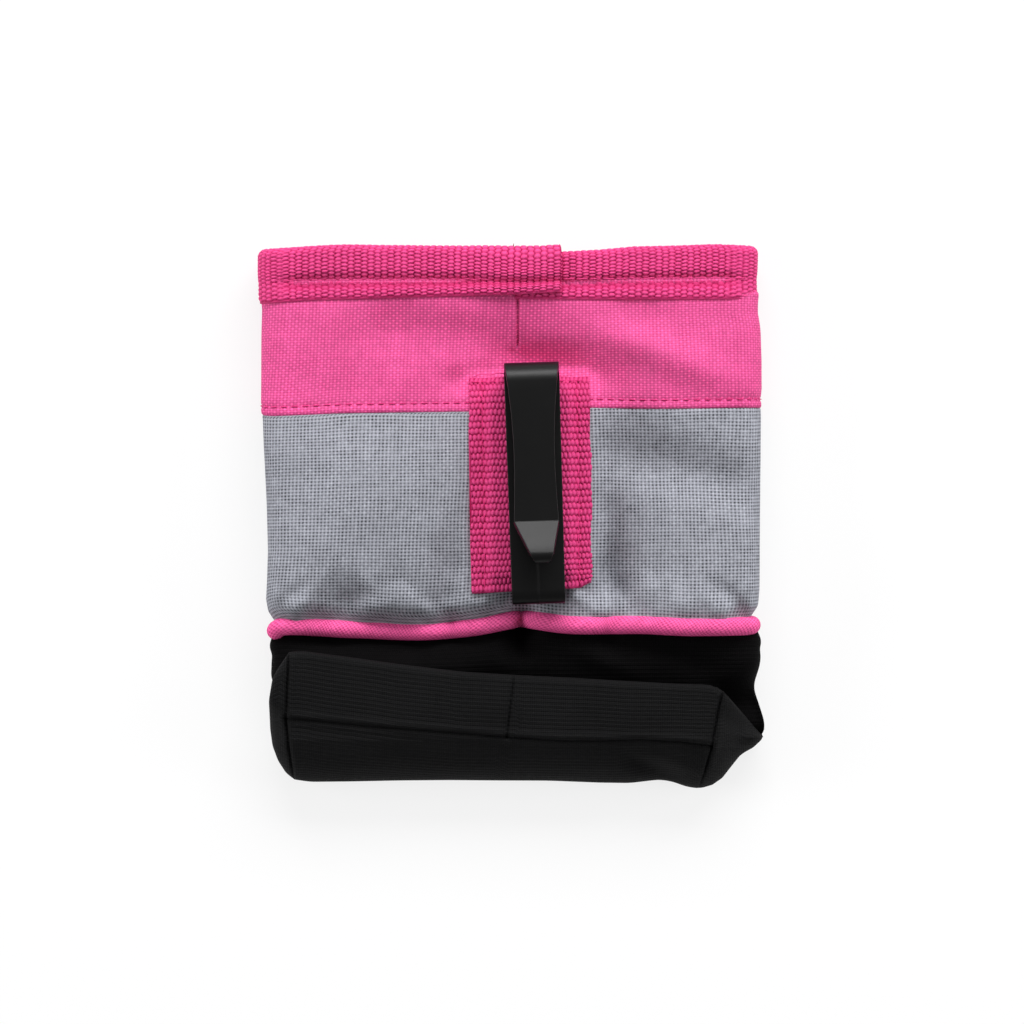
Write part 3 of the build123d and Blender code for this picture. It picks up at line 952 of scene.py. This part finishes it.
centre_seam = [(-56, -50.4), (-47.5, -51.2), (-37.5, -52.2), (-22.5, -53.4), (-7.5, -54.6), (0, -55.2),
               (12.5, -56), (22.5, -56.1), (32.5, -55.8), (42.5, -56.3), (50.4, -57.3)]
left_seam = [(-55, -33.9), (-55.6, -43.5), (-55.8, -50), (-55.3, -56), (-54, -66)]
right_seam = [(53, -43.2), (51.6, -49.8), (50.4, -57.3), (49, -62.3), (47.4, -68)]
flap_seam = [(1.1, -39), (0.2, -46), (-0.8, -55.2)]
seam_at = np.interp(px, *np.transpose(centre_seam))

# Height of the folded base: nearly flat above its centre seam, then falling to the table.
top_z = np.interp(
    py, [-68, -66, -63, -60, -56, tuck_y, -40, -33], [8.6, 10.4, 13.2, 15.6, 17.7, 18.6, 19.7, 20.4]
)
top_z = top_z - 0.7 * smooth((seam_at - py) / 0.7)
for line, depth in ((centre_seam, 0.95), (left_seam, 0.9), (right_seam, 0.9), (flap_seam, 0.7)):
    gap = line_distance(px, py, line)
    top_z = top_z - depth * peak(gap, 0, 0.3) + 0.3 * peak(gap, 1.1, 0.8)
top_z = top_z + fold(px, py, (28, -60), (43, -66), 2.4, -1.9) + fold(px, py, (38, -59), (50, -66), 3.2, 0.9)
top_z = top_z + dimple(px, py, (10, -49), (40, 6), 0.4) + 0.22 * ripple(px, py, 17, 41)
gusset = smooth((np.interp(py, [-58, -50, -43], [50.4, 51.6, 53.0]) - px) / -9)
top_z = top_z - gusset * 6.0 * smooth((-44 - py) / 10)
under = 15.6 * smooth((py - tuck_y + 4.5) / 9.0) + 0.1 * np.clip(py - tuck_y, 0, 20)
least_thickness = 2.4
under = np.minimum(under, np.maximum(top_z - least_thickness, 0))
middle, depth = (top_z + under) / 2, (top_z - under) / 2
turn_in = np.minimum(depth * 0.95, 7.5)
round_off = np.sqrt(np.clip(1 - (1 - np.minimum(edge / turn_in, 1)) ** 2, 0, 1))
upper = np.stack([px, py, middle + depth * round_off], -1)
lower = np.stack([px, py, middle - depth * round_off], -1)


def pillow(name, upper, lower, material):
    """A closed piece from an upper and a lower sheet that meet along their edges."""
    rows, columns = upper.shape[:2]
    points = np.concatenate([upper.reshape(-1, 3), lower.reshape(-1, 3)])
    index = np.arange(rows * columns).reshape(rows, columns)
    low_index = index + rows * columns
    rim = np.zeros((rows, columns), bool)
    rim[[0, -1]] = rim[:, [0, -1]] = True
    low_index[rim] = index[rim]
    faces, uv = [], []
    run_y = np.cumsum(np.r_[np.zeros((1, columns)), np.linalg.norm(np.diff(upper, axis=0), axis=-1)], 0)
    place = np.stack([upper[..., 0], run_y], -1)

    def corners(values, axis):
        return np.stack([values[:-1, :-1], values[1:, :-1], values[1:, 1:], values[:-1, 1:]], axis)

    for sheet, flip in ((index, False), (low_index, True)):
        quad = corners(sheet, -1).reshape(-1, 4)
        spot = corners(place, -2).reshape(-1, 4, 2)
        if flip:
            quad, spot = quad[:, ::-1], spot[:, ::-1]
        faces.append(quad)
        uv.append(spot)
    return mesh_piece(name, points, np.concatenate(faces), np.concatenate(uv), material)


base = pillow("folded_base_cloth", upper, lower, black_cloth)
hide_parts("black_base_section")
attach(base, "pouch")

# ---- Lining ----
ys = layer_ys(seam_y + 4, rim_y - cloth_below_rim, 1.0)
lining_inset, lining_columns = 2.6, (40, 12)
rows, arc = pouch_rows(ys, lining_inset, *lining_columns)
low_ys = np.array([tuck_y + 1.0, tuck_y + 3, -38.0, -34.0, -31.0, -28.0, -26.0])
low_half = np.array([52.0, 55.0, 57.0, 57.4, 56.8, 56.4, 57.2])
low_high = np.array([8.0, 8.2, 8.2, 8.2, 8.0, 7.8, 8.4])
low_low = np.array([2.4, 1.4, 1.4, 2.0, 4.6, 4.8, 4.0])
lx, lz, _ = loops(low_half, low_low, low_high, *lining_columns)
ly = np.broadcast_to(low_ys[:, None], lx.shape)
lower_rows = np.stack([lx, ly, lz], -1)
# Its foot closes in a few rows.
low_x, low_y, low_z = lower_rows[0].T
middle_z = low_z.mean()
closing = []
for k in (3.9, 3, 2, 1):
    closed_z = middle_z + (low_z - middle_z) * (1 - k / 4)
    closing.append(np.stack([low_x * (1 - 0.02 * k), low_y - 0.6 * k**0.5, closed_z], -1))
rows = np.concatenate([np.array(closing), lower_rows, rows])
lining_cloth_depth = 0.35
lining = shell("lining_cloth_bag", lay(rows), arc[:1], lining_cloth_depth, lining_cloth, inner_step=2)
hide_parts("lining_bag", "lining_mouth_lip")
across_mouth(lining)

# ---- Rim binding ----
# One length of webbing folded over the rim: out of its lower edge, up, over and down inside.
binding_depth = 4.0
fold_radius = binding_depth / 2
rise = rim_y - binding_y - fold_radius
across_step = 0.19
tape_width = 2 * rise + math.pi * fold_radius
w = np.linspace(0, tape_width, int(tape_width / across_step))
turn = np.clip((w - rise) / fold_radius, 0, math.pi)
past_fold = w - rise - math.pi * fold_radius
over_fold = rim_y - fold_radius + fold_radius * np.sin(turn)
inner_y = np.where(past_fold > 0, rim_y - fold_radius - past_fold, over_fold)
profile_y = np.where(w < rise, binding_y + w, inner_y)
profile_inset = fold_radius - fold_radius * np.cos(turn) - 0.55
# The webbing is drawn in along its stitching and hollow above it.
height_up = np.where(w < rise + fold_radius * 1.57, w, tape_width - w)
binding_stitch_height = 4.1
draw_in = 0.4 * peak(height_up, binding_stitch_height, 0.4) + 1.25 * peak(height_up, 4.3, 1.5)
spread_row = np.exp(-(((height_up - 3.0) / 0.75) ** 4))
draw_in = (draw_in + 0.35 * spread_row) * np.where(w < tape_width / 2, 1.0, 0.2)
fine_back = 250
fine_rows, fine_arc = pouch_rows(profile_y, profile_inset, fine_back, 46)
start_x, overlap = 1.5, 12.0
# Columns run from the webbing's start, right round, to its end over the start.
first = int(np.argmin(np.abs(fine_rows[0, :fine_back, 0] - start_x)))
last = int(np.argmin(np.abs(fine_rows[0, :fine_back, 0] - (start_x + overlap - 0.4))))
order = np.r_[first:fine_rows.shape[1], 0:last + 1]
strip = fine_rows[:, order]
reach_arc = fine_arc[:, :-1]
total = fine_arc[:, -1:]
strip_arc = np.concatenate([reach_arc[:, first:], reach_arc[:, : last + 1] + total], 1)
mean_arc = strip_arc.mean(0)
end_distance = mean_arc[-1] - mean_arc
lift = (webbing + 0.12) * smooth((overlap + 16 - end_distance) / 18)
strip = lay(strip)
# Its edges aren't straight: the rim bows, and the end lies a little higher than the start.
across_x = strip[..., 0].copy()
upper_part = smooth((strip[..., 1] - binding_y) / 10)
on_back = smooth((strip[..., 2] - 5) / 4)
is_start = on_back * (mean_arc < mean_arc[-1] / 2)
is_end = on_back * (mean_arc > mean_arc[-1] / 2)
bow = upper_part * (0.35 * peak(across_x, -27, 14) + 1.2 * smooth((-38 - across_x) / 26))
bow = bow + upper_part * 0.65 * smooth((across_x - 50) / 13)
lower_part = smooth((binding_y + 5 - strip[..., 1]) / 5)
bows = [
    (is_start * upper_part, [13, 22, 31, 42, 60], [2.05, 1.6, 0.8, 0.6, 0]),
    (is_end * upper_part, [-26, -14, -8, 0, 8, 13], [0, 0.35, 0.9, 1.85, 1.85, 1.5]),
    ((1 - on_back) * upper_part, [-28, 0, 12, 22, 31, 42, 60], [0, 0.7, 2.1, 1.7, 0.95, 0.7, 0]),
    (is_start * lower_part, [0, 30, 62], [0.3, 0.8, 0.9]),
    (is_end * lower_part, [-62, -50, -30, -11, 2, 13], [1.0, 0.3, 0, -0.5, -0.9, -1.3]),
]
for share, places, drops in bows:
    bow = bow + share * np.interp(across_x, places, drops)
strip[..., 1] -= bow
strip[..., 0] -= 1.15 * smooth((across_x - 36) / 24)
strip_normal = normals_of(strip, closed=False)
at_side = smooth((np.abs(strip[..., 0]) - 52) / 9)
sunk = (draw_in[:, None] * (1 - 0.9 * at_side))[..., None]
strip = strip + strip_normal * (lift[None, :, None] - sunk)
strip[..., 2] += 0.8 * smooth((3 - strip[..., 2]) / 3)
binding_beads = (1.6, 0.48)
raised = beads(mean_arc[None, :], w[:, None], *binding_beads)
plain_edge = np.minimum(w, tape_width - w)[:, None]
raised = raised * smooth((plain_edge + 0.2) / 0.5)
binding = shell(
    "rim_binding_tape", strip, strip_arc[:1], webbing, tape, closed=False, inner_step=6,
    detail=0.5 * raised - 0.38,
)
# Painted shade: the gaps, and the hollow row below the stitching, are stored lower so the material darkens
# them.
crown_shade(binding, raised * (1 - 0.5 * spread_row[:, None] * (1 - at_side)))
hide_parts("rim_binding_front", "rim_binding_back")
across_mouth(binding)

binding_thread = stitch_row(
    "binding_stitches", binding_y + binding_stitch_height, lift=0.15, length=2.9, gap=0.4, width=0.12,
    material=bright_thread, keep=lambda p: abs(p[0]) < 58, waver=0.25,
)
across_mouth(binding_thread)

# ---- Clip patch ----
patch_mid = (patch_low[0] + patch_high[0]) / 2
patch_half = (patch_high[0] - patch_low[0]) / 2
tunnel_rise = 2.8
stitch_inset = 3.3
across = np.linspace(-patch_half, patch_half, 150)
along = np.linspace(patch_low[1] + 0.1, patch_high[1] - 0.1, 266)
a, b = np.meshgrid(across, along)
wavy = 0.18 * np.sin(b / 5.3) + 0.14 * np.sin(b / 2.1 + 1)
x = patch_mid + a + wavy * (np.abs(a) / patch_half) ** 3
y = b + (0.6 + 0.6 * a / patch_half) * smooth((patch_low[1] + 10 - b) / 10)
y = y + 0.9 * smooth((a - patch_half + 3) / 3) * smooth((patch_low[1] + 3 - b) / 3)
profile = tunnel_rise * smooth((patch_half - 2.6 - np.abs(a)) / 3.0)
ends = smooth((b - patch_low[1]) / 5) * smooth((patch_high[1] - b) / 3)
z = thickness(y) + back_relief(x, y) * smooth((np.abs(a) - 6) / 6) + profile * (0.45 + 0.55 * ends)
z = z + webbing - 0.45 * peak(np.abs(a), patch_half - stitch_inset, 0.5)
patch_beads = (1.57, 0.52)
raised = beads(b, a + patch_half, *patch_beads)
grid = lay(np.stack([x, y, z], -1))
patch = shell(
    "clip_patch_tape", grid, (a + patch_half)[:1], webbing, patch_tape, closed=False, inner_step=8,
    detail=0.5 * raised - 0.28,
)
crown_shade(patch, raised)
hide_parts("clip_patch")
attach(patch, "pouch")

stitch_lines = []
for side, seed in ((-1, 5), (1, 9)):
    column = int(np.argmin(np.abs(across - side * (patch_half - stitch_inset))))
    stitch_lines.append((grid[:, column], 2.8, 0.5, seed))
stitch_lines.append((grid[-5], 2.6, 0.4, 3))
rows_of_thread = []
for line, length, gap, seed in stitch_lines:
    upward = np.tile([0.0, 0.0, 1.0], (len(line), 1))
    rows_of_thread += stitches(line, upward, length, gap, 0.42, 0.2, 0.15, seed)
patch_thread = thread_mesh("patch_stitches", rows_of_thread, 0.17, thread_with_painted_shade)
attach(patch_thread, "pouch")

# ---- Belt clip ----
hinge = np.array(joints["clip_arm_flex"]["pos_m"]) * 1000
clip_along = unit(np.array(joints["clip_play"]["axis"], float))
clip_across = -unit(np.array(joints["clip_arm_flex"]["axis"], float))
clip_out = np.cross(clip_across, clip_along)
# Its places are measured from its top end, on the pouch's back.
hinge_along, hinge_out = -6.3, 13.0
clip_origin = hinge - hinge_along * clip_along - hinge_out * clip_out
strip_depth = 2.2


def clip_point(across, along, out):
    return clip_origin + across * clip_across + along * clip_along + out * clip_out


def arc_points(centre, radius, start, end, count):
    t = np.radians(np.linspace(start, end, count))
    return np.stack([centre[0] + radius * np.cos(t), centre[1] + radius * np.sin(t)], 1)


def ribbon(path, half_widths, shifts):
    """A moulded strip along a path in the clip's side plane, with rounded edges and a mould line."""
    bevel, ridge = 0.16, 0.05
    half = strip_depth / 2
    path = np.asarray(path, float)
    onward = unit(np.diff(path, axis=0))
    run = unit(np.concatenate([onward[:1], onward[1:] + onward[:-1], onward[-1:]]))
    out = np.stack([run[:, 1], -run[:, 0]], 1)
    half_turn = np.ones(len(path))
    half_turn[1:-1] = np.sqrt((1 + np.sum(onward[1:] * onward[:-1], axis=1)) / 2)
    out /= half_turn[:, None]
    rings = []
    for point, normal, wide, shift in zip(path, out, half_widths, shifts):
        section = []
        for sx, sy, first in ((1, 1, 90), (1, -1, 0), (-1, -1, 270), (-1, 1, 180)):
            centre = (sx * (wide - bevel), sy * (half - bevel))
            for k in range(5):
                t = math.radians(first - 22.5 * k)
                section.append((centre[0] + bevel * math.cos(t), centre[1] + bevel * math.sin(t)))
        inside = wide - bevel - 0.12
        top = [
            (-inside, half), (-0.6, half), (-0.16, half), (-0.08, half + ridge),
            (0.08, half + ridge), (0.16, half), (0.6, half), (inside, half),
        ]
        under = [(inside, -half), (0.0, -half), (-inside, -half)]
        ring = []
        for s, c in section[:10] + under + section[10:] + top:
            ring.append(clip_point(s + shift, point[0] + normal[0] * c, point[1] + normal[1] * c))
        rings.append(ring)
    return np.array(rings)


def crisp_corner(points, corner):
    """The same line with extra points close to one corner, so that it stays crisp."""
    reach = 0.45
    points = np.array(points, float)
    before = points[corner] + unit(points[corner - 1] - points[corner]) * reach
    after = points[corner] + unit(points[corner + 1] - points[corner]) * reach
    return np.concatenate([points[:corner], [before, points[corner], after], points[corner + 1:]])


# The strip's middle line, from the lip's tip up the arm, round the bend and down the rear leg,
# then back up behind the patch. Each place is along the clip and out from the pouch's back.
foot = (-40.0, 12.6)
lip_slope = 4.6 / 9.9
lip_reach = 8.0
tip = (foot[0] - lip_reach, foot[1] + lip_reach * lip_slope)
arm_line = [
    (tip[0] - 1.35, tip[1] - 1.0),
    (tip[0] - 1.1, tip[1] - 0.25),
    (tip[0] - 0.6, tip[1] + 0.12),
    tip,
    (foot[0] - 6, foot[1] + 6 * lip_slope),
    (foot[0] - 3, foot[1] + 3 * lip_slope),
    foot,
    (-34.0, 12.66),
    (-27.0, 12.75),
    (-20.0, 12.83),
    (-13.0, 12.92),
    (-7.0, 12.98),
]
arm_line = crisp_corner(arm_line, arm_line.index(foot))
bend = arc_points((-4.9, 9.2), 3.8, 90, -90, 22)
rear = np.array([(along, 5.4) for along in np.linspace(-7.0, -56.4, 14)])
foot_bend = arc_points((-56.7, 3.4), 2.0, 90, 270, 14)
under_leg = np.array([(along, 1.4) for along in np.linspace(-56.0, -4.0, 12)])
top_bend = arc_points((-3.1, 3.4), 2.0, -90, 75, 10)
strip_path = np.concatenate([arm_line, bend, rear, foot_bend, under_leg, top_bend])
arm_count, bend_count = len(arm_line), len(bend)


def arm_half(along):
    """Half the arm's width: waisted, and narrower again down its lip."""
    if along > foot[0]:
        places = [-40, -33, -27.2, -20, -14.4, -7, 0]
        return float(np.interp(along, places, [5.6, 5.25, 5.08, 5.1, 5.3, 6.0, 6.5]))
    return float(np.interp(along, [tip[0] - 1.4, tip[0] - 0.9, tip[0], foot[0]], [1.5, 2.3, 3.0, 5.6]))


def leg_half(along):
    """Half the legs' width, with rounded corners at their foot."""
    wide = float(np.interp(along, [-60.4, 0], [6.6, 6.9]))
    tuck = min(max((along + 59.8) / 1.6, 0.0), 1.0)
    return wide - 0.8 * (1 - tuck) ** 2


# The lip's tip leans a little to one side.
halves, shifts = [], []
for i, along in enumerate(strip_path[:, 0]):
    share = (i - arm_count) / bend_count
    if share < 0:
        halves.append(arm_half(along))
        shifts.append(1.15 * min(max((foot[0] - along) / 9.0, 0.0), 1.1))
        continue
    if share < 1:
        halves.append((1 - share) * 6.25 + share * 6.85 + 0.25 * math.sin(math.pi * share))
    else:
        halves.append(leg_half(along))
    shifts.append(0.0)
rings = ribbon(strip_path, halves, shifts)


def end_cap(ring, before, depth):
    """Rounds a strip's end over and closes it."""
    steps = 3
    centre = ring.mean(0)
    run = unit(centre - before.mean(0))
    result = []
    for k in range(1, steps + 1):
        t = math.pi / 2 * k / steps
        result.append(centre + (ring - centre) * (1 - 0.12 * (1 - math.cos(t))) + run * depth * math.sin(t))
    result.append(np.repeat(result[-1].mean(0)[None], len(ring), 0))
    return np.array(result)


tip_cap = end_cap(rings[0], rings[1], 0.4)
tail_cap = end_cap(rings[-1], rings[-2], 0.2)
rings = np.concatenate([tip_cap[::-1], rings, tail_cap])
faces, corner_r, corner_c = grid_faces(len(rings), rings.shape[1], False, True)
uv = np.stack([corner_c * 0.6, corner_r * 0.6], -1)
clip = mesh_piece("belt_clip_moulding", rings, faces, uv, plastic)
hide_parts("belt_clip_loop", "belt_clip_arm")
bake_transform(clip)

# ---- Loose end of thread at the patch's top ----
t = np.linspace(0, 1, 24)
end_x = patch_low[0] + 1.0 + 8.0 * t
end_y = patch_high[1] + 0.2 + 0.9 * np.sin(2.6 * t) + 0.3 * np.sin(9 * t)
end_z = thickness(end_y) + 0.9 + 1.3 * np.sin(np.pi * t)
loose = thread_mesh("loose_thread", [lay(np.stack([end_x, end_y, end_z], -1))], 0.13, bright_thread)
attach(loose, "pouch")

# ---- Floor, lights and camera ----
floor_mesh = bpy.data.meshes.new("floor")
floor_reach, floor_z = 3, -0.0002
signs = ((-1, -1), (1, -1), (1, 1), (-1, 1))
floor_corners = [(floor_reach * sx, floor_reach * sy, floor_z) for sx, sy in signs]
floor_mesh.from_pydata(floor_corners, [], [(0, 1, 2, 3)])
floor = bpy.data.objects.new("floor", floor_mesh)
bpy.context.scene.collection.objects.link(floor)
g = Graph("floor")
g.surface(Base_Color=(0.86, 0.86, 0.865, 1), Roughness=0.9, Specular_IOR_Level=0.0)
path_node = g.tree.nodes.new("ShaderNodeLightPath")
seen = g.math("MAXIMUM", path_node.outputs["Is Camera Ray"], path_node.outputs["Is Glossy Ray"])
glow = g.new("ShaderNodeEmission", Strength=1.0)
join = g.tree.nodes.new("ShaderNodeMixShader")
g.put(join.inputs[0], g.math("MULTIPLY", seen, 0.8))
g.tree.links.new(g.shader.outputs[0], join.inputs[1])
g.tree.links.new(glow.outputs[0], join.inputs[2])
g.tree.links.new(join.outputs[0], g.output.inputs[0])
floor_mesh.materials.append(g.material)
floor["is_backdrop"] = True

world = bpy.data.worlds.new("studio")
world.use_nodes = True
bpy.context.scene.world = world
background = world.node_tree.nodes["Background"]
background.inputs["Color"].default_value = (1, 1, 1, 1)
background.inputs["Strength"].default_value = 0.24


def area_light(name, place, aim, size, energy):
    data = bpy.data.lights.new(name, "AREA")
    data.shape = "RECTANGLE"
    data.size, data.size_y = size
    data.energy = energy
    lamp = bpy.data.objects.new(name, data)
    lamp.location = place
    lamp.rotation_euler = (Vector(aim) - Vector(place)).to_track_quat("-Z", "Y").to_euler()
    bpy.context.scene.collection.objects.link(lamp)
    return lamp


area_light("key", (0.2, 1.3, 0.9), (0, 0, 0), (1.5, 0.6), 36)
area_light("left_side", (-1.3, 0.1, 0.55), (0, 0, 0), (0.8, 0.5), 10.5)
area_light("right_side", (1.3, 0.1, 0.6), (0, 0, 0), (0.8, 0.5), 8)

camera_data = bpy.data.cameras.new("camera")
camera_distance = 2.4
camera_data.lens = 337.5
camera_data.sensor_width = 36
camera_data.clip_end = 20
camera = bpy.data.objects.new("camera", camera_data)
middle_x = (cad_low.x + cad_high.x) / 2 + 0.0005
middle_y = (cad_low.y + cad_high.y) / 2 + 0.001
camera.location = (middle_x, middle_y, cad_high.z / 4 + camera_distance)
camera.rotation_euler = (0, 0, 0)
bpy.context.scene.collection.objects.link(camera)
bpy.context.scene.camera = camera

bpy.context.scene.view_settings.view_transform = "Standard"

low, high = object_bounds()
{"cad": [list(cad_low), list(cad_high)], "visual": [list(low), list(high)]}
